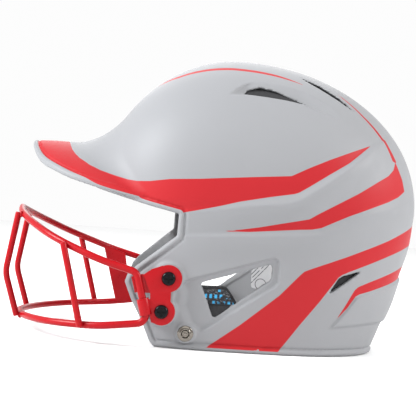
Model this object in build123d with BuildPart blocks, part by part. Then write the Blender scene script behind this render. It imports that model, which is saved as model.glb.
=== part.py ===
"""Batting helmet with a wire face mask.

Frame: origin at the middle of the base, +Z up, -X to the front, +Y to the wearer's right.
The helmet stands on the flat lower rim of its shell. Millimetres.
"""
from build123d import *
from math import copysign, cos, pi, sin, sqrt
import os

# ---- shell ----
WALL = 3.5
CUT_FROM_Y = 120.0       # beyond both sides: cuts from the side start here
CUT_DEPTH = 60.0
FAR = 200.0              # beyond every part of the helmet
WIDEST_X = 15.0          # x where each level is widest
FRONT_LENGTH = 112.0     # from there to the front and rear at the equator, where the shell is largest
REAR_LENGTH = 146.7
HALF_WIDTH = 107.2
EQUATOR_Z = 110.0
CROWN_Z = 225.0
FRONT_POWER, REAR_POWER, SIDE_POWER = 1.82, 2.1, 2.3     # how square the dome is: 2 would be an ellipse
DOME_LEVELS = [130, 150, 168, 184, 197, 207, 215, 220.5, 223.6, 224.7]
EQUATOR_EXPONENT = 2.45  # how square a level is seen from above, at the equator and at the crown
CROWN_EXPONENT = 2.10
ROUNDING_POWER = 2.2
# below the equator: height, front, rear and side reach as fractions of those at the equator, exponent
LOWER_LEVELS = [
    (0, 0.930, 0.790, 0.869, 2.75),
    (20, 0.950, 0.842, 0.897, 2.68),
    (45, 0.972, 0.907, 0.930, 2.60),
    (75, 0.987, 0.969, 0.967, 2.50),
    (EQUATOR_Z, 1.0, 1.0, 1.0, EQUATOR_EXPONENT),
]
LEVEL_POINTS = 24

# ---- bill ----
BILL_ROOT_X = -40.0
BILL_LENGTH = 108.8
BILL_HALF_WIDTH = 91.0
BILL_EXPONENT = 2.3
BILL_CROWN_Z = 150.6
BILL_THICKNESS = 4.6
# x of each cross-section of the bill, and how fast it drops to the sides (1/mm)
BILL_ARCH = [(-153, 0.0090), (-142, 0.0079), (-128, 0.0059), (-110, 0.0050), (-85, 0.0048), (-45, 0.0053)]
BILL_SHEET_HALF_WIDTH = 96.0
BILL_OUTLINE_STEPS = 16

# ---- face opening, ear openings and vents, as (x, z) in side view ----
BROW_LINE = [
    (-151, 149), (-142, 134.6), (-131.5, 127.4), (-114, 120.5), (-82, 111), (-51, 103.7),
    (-29.7, 99.4),
]
JAW_LINE = [(-30, 83.4), (-58.5, 58.6), (-66, 47.5), (-60.5, 33), (-52, 18.6), (-38, 0)]
FACE_OUTSIDE = [(-38, -5), (-175, -5), (-175, 149)]     # closes the face opening outside the shell
EAR_WINDOW = [(-10, 49.5), (41, 68.5), (41, 54.5), (-1, 24.5)]
EAR_CORNER_R = 3.0
SIDE_VENT = (36, 190.5, 40, 5)      # x, z, length, height
CROWN_VENT = (80, 201, 50, 2.4)
REAR_VENT = (97, 57, 20, 5)
SIDE_VENT_TILT = 4
CROWN_VENT_TILT = -31
REAR_VENT_TILT = 30
VENT_REACH = 40.0        # the vents cut from outside down to this distance from the middle

# ---- padding ----
FOAM_OUTSIDE = WALL + 0.3
FOAM_INSIDE = 15.0
PAD_OUTSIDE = 15.3
PAD_INSIDE = 23.5
THIN_PAD_INSIDE = 20.5    # brow and jaw pads
THIN_PADS = ("front", "jaw")
CROWN_PAD_Z = 172.0
FRONT_PAD_X = -42.0
FRONT_PAD_Z = (121.0, 166.0)
REAR_PAD_X = 74.0
REAR_PAD_Z = (30.0, 150.0)
SIDE_PAD_X = (-26.0, 66.0)
SIDE_PAD_Z = (80.0, 150.0)
JAW_FOAM_OUTLINE = [
    (-31, 6), (-49, 25), (-58, 45), (-47, 58), (-25, 78), (-17, 60), (-13, 46), (-6, 34.5),
    (21, 35.5), (31, 22), (36, 6),
]
JAW_CORNER_R = 3.0
LABEL_X = (43.0, 66.0)
LABEL_Z = (34.0, 57.0)
LABEL_THICKNESS = 0.4

# ---- mask fixing ----
SCREW_POINTS = {"upper": (-34.0, 51.9), "lower": (-37.6, 27.5)}
BOSS_FACE_Y = 100.8      # flat outer face that the mask plate bears on
BOSS_SEAT_Y = 91.0       # flat inner face that the T-nuts bear on
BOSS_R = 10.4
BOSS_NECK = 13.0
PLATE_R = 9.9
PLATE_WEB = [
    (-39, 61.0), (-46.5, 58.1), (-52.5, 53.5), (-46.6, 40.5), (-46.4, 36.5), (-49, 35),
    (-45.6, 19.5), (-37.6, 18.5), (-31.5, 34), (-31.5, 42), (-34, 60),
]
PLATE_TAB = [(-57, 53.5), (-51, 53.5), (-45.4, 40.5), (-53, 40.5)]      # bent in behind the rail's leg
PLATE_THICKNESS = 2.0
PLATE_TAB_THICKNESS = 2.2
SCREW_R = 2.45
SCREW_LENGTH = 15.0
SCREW_HEAD_R = 5.1
SCREW_HEAD_HEIGHT = 2.8
SCREW_HEAD_ROUND = 2.1
SCREW_TIP_CHAMFER = 0.6
SCREW_RECESS = (6.2, 1.2, 1.7)      # cross length, slot width, depth
NUT_BORE_R = SCREW_R + 0.05
NUT_BARREL_R = 3.5
NUT_BARREL_LENGTH = 8.0
NUT_FLANGE_R = 8.0
NUT_FLANGE_THICKNESS = 1.2
FIXING_POCKET_Y = 85.5
POCKET_MARGIN = 0.5
POCKET_DEPTH = 20.0
SEAT_MARGIN = 0.4        # flat seats are this much wider than what sits on them
SEAT_DEPTH = 10.0
PLATE_HOLE_R = SCREW_R + 0.3
FIT_GAP = 0.05

# ---- chin-strap snaps ----
SNAP_X, SNAP_Z = -19.0, 12.0
SNAP_FACE_Y = 95.6
SNAP_SEAT_Y = 89.6
SNAP_BOSS_R = 7.2
SNAP_BASE_R = 5.9
SNAP_BASE_THICKNESS = 0.9
SNAP_STUD_R = 4.1
SNAP_STUD_HEIGHT = 3.2
SNAP_STUD_BORE_DEPTH = 2.6
SNAP_POST_R = 1.9
SNAP_POST_BASE_R = 5.5

# ---- mask ----
RAIL_R = 2.7
UPRIGHT_R = 2.45
WELD_DEPTH = 0.15
LEG_Y = 101.4
# corner points of one side of the closed rail, from the middle of the top to the middle of the bottom
RAIL_POINTS = [
    (-155.0, 0, 95.0),
    (-151.5, 38, 90.5),
    (-121.5, 81, 75.5),
    (-86.0, 99, 62.5),
    (-57.5, LEG_Y, 55.0),
    (-46.8, LEG_Y, 18.8),
    (-84.0, 97, 13.6),
    (-120.0, 77, 12.3),
    (-148.5, 37, 11.6),
    (-152.0, 0, 11.6),
]
RAIL_RADII = [110, 70, 60, 7, 7, 60, 70, 110]
LEG_TOP = Vector(*RAIL_POINTS[4])
LEG_FOOT = Vector(*RAIL_POINTS[5])
LEG_LENGTH = (LEG_FOOT - LEG_TOP).length
LEG_HEADING = (LEG_FOOT - LEG_TOP).normalized()
LEG_OVERRUN = 9.0
LEG_CLEARANCE = 0.4
SLEEVE_R = RAIL_R + 1.8
SLEEVE_LENGTH = 12.0
UPPER_SLEEVE_PLACE = 0.22        # fractions of the way down the leg
LOWER_SLEEVE_PLACE = 0.68
FRONT_UPRIGHT_Y = (33.0, 33.0)      # top and foot
SIDE_UPRIGHT_Y = (86.7, 91.3)
UPRIGHT_OVERRUN = 3.5
FRONT_UPRIGHT_BEND = (-161.0, 44.0)
UPRIGHT_BEND_R = 25.0
UPRIGHT_STANDOFF = RAIL_R + UPRIGHT_R - WELD_DEPTH     # middle line of an upright from that of the rail
TOP_RAIL_Z = (50.0, 100.0)          # heights that hold the top run of the rail, and the bottom run
BOTTOM_RAIL_Z = (0.0, 40.0)
RAIL_STEPS = 2000
LABEL_PLATE_CORNERS = [(-92.0, 65.0), (-72.0, 58.5), (-64.0, 15.5), (-78.0, 15.0)]
LABEL_PLATE_Y = 95.6
LABEL_PLATE_THICKNESS = 1.6

SIDES = {"left": -1, "right": 1}    # the wearer's left is at -Y


def side_plane(side, distance):
    """Vertical plane parallel to the middle of the helmet, at a distance out to one side."""
    return Plane.XZ.offset(-side * distance)


def power_oval(along, across, exponent, turn):
    """Point of a squared oval, at one angle round it."""
    c, s = cos(turn), sin(turn)
    return (
        along * copysign(abs(c) ** (2 / exponent), c),
        across * copysign(abs(s) ** (2 / exponent), s),
    )


def level_reaches():
    """Height, front, rear and side reach and exponent of each level."""
    reaches = list(LOWER_LEVELS)
    for height in DOME_LEVELS:
        rise = (height - EQUATOR_Z) / (CROWN_Z - EQUATOR_Z)
        front, rear, side = [sqrt(1 - rise ** power) for power in (FRONT_POWER, REAR_POWER, SIDE_POWER)]
        exponent = EQUATOR_EXPONENT - (EQUATOR_EXPONENT - CROWN_EXPONENT) * rise ** ROUNDING_POWER
        reaches.append((height, front, rear, side, exponent))
    return reaches


def head_form(inset, lowest=0.0):
    """Solid of the shell's outer surface, shrunk by an inset. It starts at height lowest."""
    up_scale = 1 - inset / (CROWN_Z - EQUATOR_Z)
    with BuildPart() as form:
        for height, front, rear, side, exponent in level_reaches():
            level = height
            if height > EQUATOR_Z:
                level = EQUATOR_Z + (height - EQUATOR_Z) * up_scale
            if height == 0:
                level = lowest
            points = []
            for i in range(LEVEL_POINTS):
                turn = 2 * pi * i / LEVEL_POINTS
                length = rear * (REAR_LENGTH - inset)
                if cos(turn) < 0:
                    length = front * (FRONT_LENGTH - inset)
                x, y = power_oval(length, side * (HALF_WIDTH - inset), exponent, turn)
                points.append((WIDEST_X + x, y))
            with BuildSketch(Plane.XY.offset(level)):
                with BuildLine():
                    Spline(points, periodic=True)
                make_face()
        loft()
    return form.part


def region(outline, near, far, corner_r=0.0):
    """Prism with a side-view outline, between two distances from the middle (negative is left)."""
    with BuildPart() as prism:
        with BuildSketch(Plane.XZ.offset(-near)) as side_view:
            Polygon(*outline, align=None)
            if corner_r:
                fillet(side_view.vertices(), corner_r)
        extrude(amount=near - far)
    return prism.part


outer_form = head_form(0)
cavity_form = head_form(WALL, lowest=-1.0)
foam_form = head_form(FOAM_OUTSIDE)
foam_core = head_form(FOAM_INSIDE)
pad_form = head_form(PAD_OUTSIDE)
pad_core = head_form(PAD_INSIDE)
thin_pad_core = head_form(THIN_PAD_INSIDE)

# ---- bill: an arched sheet trimmed to its plan outline ----
with BuildPart() as bill:
    for x, arch in BILL_ARCH:
        with BuildSketch(Plane.YZ.offset(x)):
            with BuildLine():
                spread = [BILL_SHEET_HALF_WIDTH * part for part in (-1, -0.6, -0.25, 0, 0.25, 0.6, 1)]
                top = [(y, BILL_CROWN_Z - arch * y * y) for y in spread]
                under = [(y, z - BILL_THICKNESS) for y, z in top]
                Spline(top)
                Line(top[-1], under[-1])
                Spline(under)
                Line(under[0], top[0])
            make_face()
    loft()
    with BuildSketch():
        with BuildLine():
            outline = []
            for i in range(BILL_OUTLINE_STEPS + 1):
                turn = pi / 2 + pi * i / BILL_OUTLINE_STEPS
                x, y = power_oval(BILL_LENGTH, BILL_HALF_WIDTH, BILL_EXPONENT, turn)
                outline.append((BILL_ROOT_X + x, y))
            Spline(outline)
            Line(outline[-1], outline[0])
        make_face()
    extrude(amount=CROWN_Z, mode=Mode.INTERSECT)

# ---- everything forward of and below this is open to the face ----
with BuildPart() as face_opening:
    with BuildSketch(Plane.XZ):
        with BuildLine():
            Spline(BROW_LINE)
            Polyline(BROW_LINE[-1], *JAW_LINE, *FACE_OUTSIDE, BROW_LINE[0])
        make_face()
    extrude(amount=CUT_FROM_Y, both=True)


def bone_outline(lobe_r, neck):
    """Two lobes round the screw points of the mask plate, joined by a neck. Needs a sketch context."""
    upper, lower = SCREW_POINTS.values()
    with Locations(upper, lower):
        Circle(lobe_r)
    middle = ((upper[0] + lower[0]) / 2, (upper[1] + lower[1]) / 2)
    with Locations(middle):
        Rectangle(neck, upper[1] - lower[1])


# ---- shell ----
with BuildPart() as shell:
    add(outer_form)
    add(bill.part)
    add(cavity_form, mode=Mode.SUBTRACT)
    for side in SIDES.values():
        with BuildSketch(side_plane(side, BOSS_FACE_Y)):
            bone_outline(BOSS_R, BOSS_NECK)
        extrude(amount=side * (BOSS_FACE_Y - BOSS_SEAT_Y))
        with BuildSketch(side_plane(side, SNAP_FACE_Y)):
            with Locations((SNAP_X, SNAP_Z)):
                Circle(SNAP_BOSS_R)
        extrude(amount=side * (SNAP_FACE_Y - SNAP_SEAT_Y))
    add(face_opening.part, mode=Mode.SUBTRACT)
    for side in SIDES.values():
        with BuildSketch(side_plane(side, CUT_FROM_Y)) as window:
            Polygon(*EAR_WINDOW, align=None)
            fillet(window.vertices(), EAR_CORNER_R)
        extrude(amount=side * CUT_DEPTH, mode=Mode.SUBTRACT)
        with BuildSketch(side_plane(side, CUT_FROM_Y)):
            for (x, z, length, height), tilt in (
                (SIDE_VENT, SIDE_VENT_TILT),
                (CROWN_VENT, CROWN_VENT_TILT),
                (REAR_VENT, REAR_VENT_TILT),
            ):
                with Locations(Location((x, z), tilt)):
                    SlotOverall(length, height)
        extrude(amount=side * (CUT_FROM_Y - VENT_REACH), mode=Mode.SUBTRACT)
        with BuildSketch(side_plane(side, CUT_FROM_Y)):
            with Locations(*SCREW_POINTS.values()):
                Circle(NUT_BARREL_R + FIT_GAP)
            with Locations((SNAP_X, SNAP_Z)):
                Circle(SNAP_POST_R + FIT_GAP)
        extrude(amount=side * CUT_DEPTH, mode=Mode.SUBTRACT)
        with BuildSketch(side_plane(side, BOSS_SEAT_Y)):
            with Locations(*SCREW_POINTS.values()):
                Circle(NUT_FLANGE_R + SEAT_MARGIN)
        extrude(amount=side * SEAT_DEPTH, mode=Mode.SUBTRACT)
        with BuildSketch(side_plane(side, SNAP_SEAT_Y)):
            with Locations((SNAP_X, SNAP_Z)):
                Circle(SNAP_POST_BASE_R + SEAT_MARGIN)
        extrude(amount=side * SEAT_DEPTH, mode=Mode.SUBTRACT)
        trough_start = LEG_TOP - LEG_HEADING * LEG_OVERRUN
        trough_start.Y = side * LEG_Y
        with BuildSketch(Plane(trough_start, x_dir=(0, 1, 0), z_dir=LEG_HEADING)):
            Circle(SLEEVE_R + LEG_CLEARANCE)
        extrude(amount=LEG_LENGTH + 2 * LEG_OVERRUN, mode=Mode.SUBTRACT)


# ---- liner foams and comfort pads ----
def block(x, y, z):
    """Box between limits on each axis."""
    with BuildPart() as box:
        with Locations(((x[0] + x[1]) / 2, (y[0] + y[1]) / 2, (z[0] + z[1]) / 2)):
            Box(x[1] - x[0], y[1] - y[0], z[1] - z[0])
    return box.part


zones = {
    "crown": block((-FAR, FAR), (-FAR, FAR), (CROWN_PAD_Z, CROWN_Z)),
    "front": block((-FAR, FRONT_PAD_X), (-FAR, FAR), FRONT_PAD_Z),
    "rear": block((REAR_PAD_X, FAR), (-FAR, FAR), REAR_PAD_Z),
    "side_left": block(SIDE_PAD_X, (-FAR, 0), SIDE_PAD_Z),
    "side_right": block(SIDE_PAD_X, (0, FAR), SIDE_PAD_Z),
    "jaw_left": region(JAW_FOAM_OUTLINE, -FAR, 0, JAW_CORNER_R),
    "jaw_right": region(JAW_FOAM_OUTLINE, 0, FAR, JAW_CORNER_R),
}
pad_names = {"front": "brow_pad", "rear": "nape_pad"}

# pockets in the jaw foams for the T-nuts, the screw tips and the snap posts
with BuildPart() as fixing_pockets:
    for side in SIDES.values():
        with BuildSketch(side_plane(side, FIXING_POCKET_Y)):
            bone_outline(BOSS_R + POCKET_MARGIN, BOSS_NECK + 2 * POCKET_MARGIN)
            with Locations((SNAP_X, SNAP_Z)):
                Circle(SNAP_BOSS_R + POCKET_MARGIN)
        extrude(amount=-side * POCKET_DEPTH)

os.makedirs("parts", exist_ok=True)

for zone_name, zone in zones.items():
    place, _, side_name = zone_name.partition("_")
    ending = "_" + side_name if side_name else ""
    with BuildPart() as foam:
        add(foam_form)
        add(foam_core, mode=Mode.SUBTRACT)
        add(zone, mode=Mode.INTERSECT)
        if place == "jaw":
            add(fixing_pockets.part, mode=Mode.SUBTRACT)
    foam.part.label = place + "_foam" + ending
    export_step(foam.part, f"parts/{foam.part.label}.step")
    with BuildPart() as pad:
        add(pad_form)
        add(thin_pad_core if place in THIN_PADS else pad_core, mode=Mode.SUBTRACT)
        add(zone, mode=Mode.INTERSECT)
    pad.part.label = pad_names.get(place, place + "_pad") + ending
    export_step(pad.part, f"parts/{pad.part.label}.step")

# ---- blank information label on the inside of the shell, right side ----
label_outside = head_form(WALL + FIT_GAP)
label_inside = head_form(WALL + FIT_GAP + LABEL_THICKNESS)
with BuildPart() as inner_label:
    add(label_outside)
    add(label_inside, mode=Mode.SUBTRACT)
    add(block(LABEL_X, (0, FAR), LABEL_Z), mode=Mode.INTERSECT)

# ---- mask: closed rail ----
with BuildPart() as half_rail:
    with BuildLine() as rail_line:
        FilletPolyline(RAIL_POINTS, radius=RAIL_RADII)
    with BuildSketch(Plane(RAIL_POINTS[0], x_dir=(0, 0, 1), z_dir=rail_line.line % 0)):
        Circle(RAIL_R)
    sweep()
rail_wire = rail_line.line

with BuildPart() as mask_perimeter_wire:
    add(half_rail.part)
    mirror(about=Plane.XZ)


def rail_point(low_z, high_z, distance, reach):
    """Point on the rail's middle line at a distance out to the right, and pushed outwards by reach."""
    places = [rail_wire @ (i / RAIL_STEPS) for i in range(RAIL_STEPS + 1)]
    run = [i for i, place in enumerate(places) if low_z <= place.Z <= high_z]
    nearest = min(run, key=lambda i: abs(places[i].Y - distance))
    place, heading = places[nearest], rail_wire % (nearest / RAIL_STEPS)
    outwards = Vector(heading.Y, -heading.X, 0).normalized()
    if outwards.X > 0:
        outwards = -outwards
    return place + outwards * reach


def upright(top_y, foot_y, bend=None):
    """Wire that runs down the outside of the rail, on the right."""
    top = rail_point(*TOP_RAIL_Z, top_y, UPRIGHT_STANDOFF)
    foot = rail_point(*BOTTOM_RAIL_Z, foot_y, UPRIGHT_STANDOFF)
    stops = [top, foot]
    if bend:
        stops = [top, Vector(bend[0], (top.Y + foot.Y) / 2, bend[1]), foot]
    start = stops[0] + (stops[0] - stops[1]).normalized() * UPRIGHT_OVERRUN
    end = stops[-1] + (stops[-1] - stops[-2]).normalized() * UPRIGHT_OVERRUN
    route = [start, *stops[1:-1], end]
    with BuildPart() as wire:
        with BuildLine() as line:
            if bend:
                FilletPolyline(route, radius=UPRIGHT_BEND_R)
            else:
                Line(start, end)
        with BuildSketch(Plane(start, z_dir=line.line % 0)):
            Circle(UPRIGHT_R)
        sweep()
    return wire.part


front_upright = upright(*FRONT_UPRIGHT_Y, FRONT_UPRIGHT_BEND)
side_upright = upright(*SIDE_UPRIGHT_Y)

# ---- mask: screw plate, bent round the rail's leg in two places ----
with BuildPart() as screw_plate:
    with BuildSketch(side_plane(1, BOSS_FACE_Y)):
        Polygon(*PLATE_WEB, align=None)
        with Locations(*SCREW_POINTS.values()):
            Circle(PLATE_R)
    extrude(amount=-PLATE_THICKNESS)
    with BuildSketch(side_plane(1, BOSS_FACE_Y - PLATE_THICKNESS)):
        Polygon(*PLATE_TAB, align=None)
    extrude(amount=-PLATE_TAB_THICKNESS)
    for fraction, inner_half_only in ((UPPER_SLEEVE_PLACE, True), (LOWER_SLEEVE_PLACE, False)):
        spot = LEG_TOP + (LEG_FOOT - LEG_TOP) * fraction
        with BuildSketch(Plane(spot, x_dir=(0, 1, 0), z_dir=LEG_HEADING)):
            Circle(SLEEVE_R)
            if inner_half_only:
                with Locations((SLEEVE_R, 0)):
                    Rectangle(2 * SLEEVE_R, 2 * SLEEVE_R, mode=Mode.SUBTRACT)
        extrude(amount=SLEEVE_LENGTH / 2, both=True)
    add(shell.part, mode=Mode.SUBTRACT)
    with BuildSketch(Plane(LEG_TOP, x_dir=(0, 1, 0), z_dir=LEG_HEADING)):
        Circle(RAIL_R + FIT_GAP)
    extrude(amount=LEG_LENGTH, mode=Mode.SUBTRACT)
    with BuildSketch(side_plane(1, BOSS_FACE_Y)):
        with Locations(*SCREW_POINTS.values()):
            Circle(PLATE_HOLE_R)
    extrude(amount=-PLATE_THICKNESS, mode=Mode.SUBTRACT)

# ---- mask: flat plate between the rails, right side only ----
with BuildPart() as mask_label_plate:
    with BuildSketch(side_plane(1, LABEL_PLATE_Y)) as plate_outline:
        Polygon(*LABEL_PLATE_CORNERS, align=None)
        fillet(plate_outline.vertices(), 2)
    extrude(amount=LABEL_PLATE_THICKNESS)

# ---- screws, T-nuts and snaps, each drawn on the right side ----
PLATE_FACE_Y = BOSS_FACE_Y + PLATE_THICKNESS
with BuildPart() as mask_screw:
    with BuildSketch(Plane.XY):
        Circle(SCREW_R)
    extrude(amount=-SCREW_LENGTH)
    with BuildSketch(Plane.XY):
        Circle(SCREW_HEAD_R)
    extrude(amount=SCREW_HEAD_HEIGHT)
    fillet(mask_screw.edges().group_by(Axis.Z)[-1], SCREW_HEAD_ROUND)
    with BuildSketch(Plane.XY.offset(SCREW_HEAD_HEIGHT)):
        Rectangle(SCREW_RECESS[0], SCREW_RECESS[1])
        Rectangle(SCREW_RECESS[1], SCREW_RECESS[0])
    extrude(amount=-SCREW_RECESS[2], mode=Mode.SUBTRACT)
    chamfer(mask_screw.edges().group_by(Axis.Z)[0], SCREW_TIP_CHAMFER)

with BuildPart() as t_nut:
    Cylinder(NUT_FLANGE_R, NUT_FLANGE_THICKNESS, align=(Align.CENTER, Align.CENTER, Align.MAX))
    Cylinder(NUT_BARREL_R, NUT_BARREL_LENGTH, align=(Align.CENTER, Align.CENTER, Align.MIN))
    Cylinder(NUT_BORE_R, 2 * NUT_BARREL_LENGTH + 1, mode=Mode.SUBTRACT)

with BuildPart() as snap_stud:
    Cylinder(SNAP_BASE_R, SNAP_BASE_THICKNESS, align=(Align.CENTER, Align.CENTER, Align.MIN))
    fillet(snap_stud.edges().group_by(Axis.Z)[-1], 0.4)
    Cylinder(SNAP_STUD_R, SNAP_STUD_HEIGHT, align=(Align.CENTER, Align.CENTER, Align.MIN))
    fillet(snap_stud.edges().group_by(Axis.Z)[-1], 0.6)
    with BuildSketch(Plane.XY):
        Circle(SNAP_POST_R + FIT_GAP)
    extrude(amount=SNAP_STUD_BORE_DEPTH, mode=Mode.SUBTRACT)

with BuildPart() as snap_post:
    Cylinder(SNAP_POST_BASE_R, SNAP_BASE_THICKNESS, align=(Align.CENTER, Align.CENTER, Align.MAX))
    Cylinder(
        SNAP_POST_R,
        SNAP_FACE_Y - SNAP_SEAT_Y + SNAP_STUD_BORE_DEPTH - 0.1,
        align=(Align.CENTER, Align.CENTER, Align.MIN),
    )


def fitted(piece, side, distance, point):
    """Copy of a turned piece, with its +Z pointing out of one side of the helmet."""
    x, z = point
    spot = Plane((x, side * distance, z), x_dir=(1, 0, 0), z_dir=(0, side, 0))
    return spot * piece.part


def export_piece(solid, name):
    """Write one named piece."""
    solid.label = name
    export_step(solid, f"parts/{name}.step")


export_piece(shell.part, "shell")
export_piece(inner_label.part, "inner_label")
export_piece(mask_perimeter_wire.part, "mask_perimeter_wire")
export_piece(mask_label_plate.part, "mask_label_plate")

t_nuts = []
for side_name, side in SIDES.items():
    for piece, name in (
        (front_upright, "mask_front_wire"),
        (side_upright, "mask_side_wire"),
        (screw_plate.part, "mask_plate"),
    ):
        if side < 0:
            piece = piece.mirror(Plane.XZ)
        export_piece(piece, f"{name}_{side_name}")
    for level_name, point in SCREW_POINTS.items():
        export_piece(fitted(mask_screw, side, PLATE_FACE_Y, point), f"mask_screw_{level_name}_{side_name}")
        t_nuts.append(fitted(t_nut, side, BOSS_SEAT_Y, point))
    snap_point = (SNAP_X, SNAP_Z)
    export_piece(fitted(snap_stud, side, SNAP_FACE_Y, snap_point), f"chin_snap_stud_{side_name}")
    export_piece(fitted(snap_post, side, SNAP_SEAT_Y, snap_point), f"chin_snap_post_{side_name}")
export_piece(Compound(children=t_nuts), "mask_t_nuts")
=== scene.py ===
"""Looks of the batting helmet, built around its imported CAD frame.

Shapes are worked out in millimetres in the row's own frame (-X front, -Y wearer's left, +Z up)
and turned into metres when a mesh is made.
"""
import math

import bmesh
import bpy
import numpy as np
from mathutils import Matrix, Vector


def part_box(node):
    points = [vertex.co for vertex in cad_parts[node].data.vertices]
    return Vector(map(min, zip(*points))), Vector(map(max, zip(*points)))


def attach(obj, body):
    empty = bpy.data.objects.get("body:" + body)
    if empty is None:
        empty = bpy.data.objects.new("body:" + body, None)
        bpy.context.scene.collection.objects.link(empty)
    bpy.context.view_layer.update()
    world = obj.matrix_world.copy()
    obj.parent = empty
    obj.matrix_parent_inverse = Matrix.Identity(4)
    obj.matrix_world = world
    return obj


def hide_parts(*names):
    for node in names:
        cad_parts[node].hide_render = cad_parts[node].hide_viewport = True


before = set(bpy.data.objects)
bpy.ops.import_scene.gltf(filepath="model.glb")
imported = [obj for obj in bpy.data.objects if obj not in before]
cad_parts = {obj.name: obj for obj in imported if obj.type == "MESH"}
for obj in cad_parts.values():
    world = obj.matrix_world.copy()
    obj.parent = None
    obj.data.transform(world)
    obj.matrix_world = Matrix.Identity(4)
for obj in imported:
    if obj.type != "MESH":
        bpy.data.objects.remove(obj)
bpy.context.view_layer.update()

import openvdb as vdb
from mathutils import Matrix, Vector

MM = 0.001
VOXEL = 1.0      # shell resolution

# ---------------------------------------------------------------- shell form, mm
WIDEST_X = 15.0
FRONT_LENGTH = 112.0
REAR_LENGTH = 146.7
HALF_WIDTH = 107.2
EQUATOR_Z = 110.0
DOME_HEIGHT = 115.2
WALL = 3.5
AWAY = 9.0               # a distance that leaves a cut or a bead out
FRONT_CURVE, REAR_CURVE, SIDE_CURVE = 1.82, 2.1, 2.3     # how square the dome is, seen from the side and back
# below the equator: (height, fraction of the length or width at the equator)
FRONT_TAPER = [(-6, 0.93), (0, 0.93), (40, 0.97), (EQUATOR_Z, 1.0)]
REAR_TAPER = [(-6, 0.78), (0, 0.79), (19, 0.838), (38, 0.893), (60, 0.935), (83, 0.98), (EQUATOR_Z, 1.0)]
SIDE_TAPER = [(-6, 0.868), (0, 0.869), (20, 0.897), (45, 0.93), (75, 0.967), (EQUATOR_Z, 1.0)]
PLAN_SQUARENESS = [(-6, 2.75), (45, 2.6), (EQUATOR_Z, 2.45), (160, 2.4), (200, 2.2), (240, 2.05)]

BILL_ROOT_X = -40.0
BILL_LENGTH = 108.8
BILL_HALF_WIDTH = 91.0
BILL_EXPONENT = 2.3
BILL_TOP = [(-152, 149.6), (-140, 150.5), (-110, 150.8), (-85, 152.0), (-40, 154.0)]
BILL_ARCH = [(-153, 0.0090), (-142, 0.0079), (-128, 0.0059), (-110, 0.0050), (-85, 0.0048), (-45, 0.0053)]
BILL_THICKNESS = 4.0
FILLET_MIDDLE, FILLET_SIDE, FILLET_UNDER = 24.0, 5.0, 4.0

# face opening, ear opening and its recess, as (x, z) in side view
BROW = [
    (-151, 149), (-142, 134.6), (-131.5, 127.4), (-114, 120.5), (-90, 113.4), (-74, 109.4), (-51, 103.8),
    (-29.7, 99.4),
]
JAW = [(-30, 83.4), (-58.5, 58.6), (-64.5, 52), (-66.3, 46), (-60.5, 33), (-52, 18.6), (-45.5, 4.5), (-42, 0)]
EAR_WINDOW = [
    (-9, 48.6), (-8.6, 50), (39.6, 66.3), (40.6, 65), (40.8, 57.6), (39.2, 55), (2.2, 26), (0.6, 26),
]
EAR_RECESS = [
    (-24, 50), (-17.6, 52.8), (42, 72.5), (46, 70), (47, 54), (44, 50.5), (-8, 13.5), (-19, 15), (-27, 32),
]

FACE_OPENING = [*BROW, *JAW, (-42, -20), (-190, -20), (-190, 149)]
# rolled rims, and the groove that runs beside each of them
BILL_BEAD_R = 1.75
BEAD_R = 2.1
BEAD_SINK = 1.0
GROOVE_R = 1.05
GROOVE_GAP = 0.5         # between a bead and its groove
BILL_GROOVE_GAP = 0.4
BILL_GROOVE_FADE = (-116, -94)      # x over which the bill's groove runs out
FACE_GROOVE_X = -70.0    # the groove along the face opening starts here

# graphics in side view: (x, z) outlines, the same on both sides
STRIPE_FRONT_TOP = [
    (-91, 128), (-83, 125.4), (-75.3, 123.6), (-69, 122.1), (-62.2, 121.4), (-52.5, 121.9),
    (-38, 124.3), (-16, 125.9), (20, 129.6), (50, 132.5),
]
STRIPE_BROW = [
    *STRIPE_FRONT_TOP, (63, 139.3), (78, 146.4), (93.5, 153), (112, 160.6),
    (93.5, 145.2), (78, 135.2), (63.5, 125.4), (56.5, 120.9), (53, 119.6),
    (35, 116.1), (13.5, 111.3), (-0.5, 107.2), (-15, 103.4), (-26.5, 100.6), (-50, 90), (-91, 90),
]
# the same band on top of the bill, seen from above: (x, distance from the middle)
BILL_BAND = [
    (-121.2, -12), (-121.2, 0), (-120.5, 7), (-117.3, 29), (-115, 39), (-111.8, 47), (-108, 54),
    (-99.2, 64.3), (-91, 70.3),
    (-83.1, 74.5), (-75.3, 77.1), (-69, 80), (-62, 120), (-180, 120), (-180, -12),
]
BAND_JOIN_X = (-90.0, -78.0)        # the bill's band and the side stripe blend here
RIM_WIDTH = 3.1          # grey rim along the face opening
BILL_RIM = [(-150, 3.1), (-125, 2.7), (-105, 1.2), (-90, 0.2)]      # the same on the bill: x, width in plan
RIM_JOIN_X = (-102.0, -86.0)
BASE_RIM_GAP = 0.6       # the grey rim at the base is narrower by this much
PAINT_DEPTH = 1.6        # the paint stops this far below the plain outer surface
STRIPE_MIDDLE = [
    (1, 88.9), (15, 91), (29.5, 93.8), (44, 97.2), (65.4, 102), (72.5, 106.5), (87, 114.8), (102, 123.2),
    (118, 133.3), (127, 138.7), (131.8, 143.6), (134, 150), (140.5, 137), (142.9, 128), (136.7, 123.2),
    (127.6, 118.8), (111, 112.2), (95.5, 106), (80.7, 99), (75, 96.2), (68, 94.6), (58.7, 93.9), (22.4, 89.9),
]
STRIPE_REAR = [
    (-6, 0.2), (20.6, 20.9), (48, 44.7), (61.6, 60), (65, 63.4), (70, 65.6), (98, 76.4), (130.4, 89.5),
    (152, 99.5),
    (175, 110), (175, 93), (150, 84.5), (132, 77.7), (99.4, 64.7), (94, 62.2), (91.6, 60.2),
    (78.4, 41.2), (65, 23.3), (49, 0.2), (49, -9), (-6, -9),
]
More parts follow.
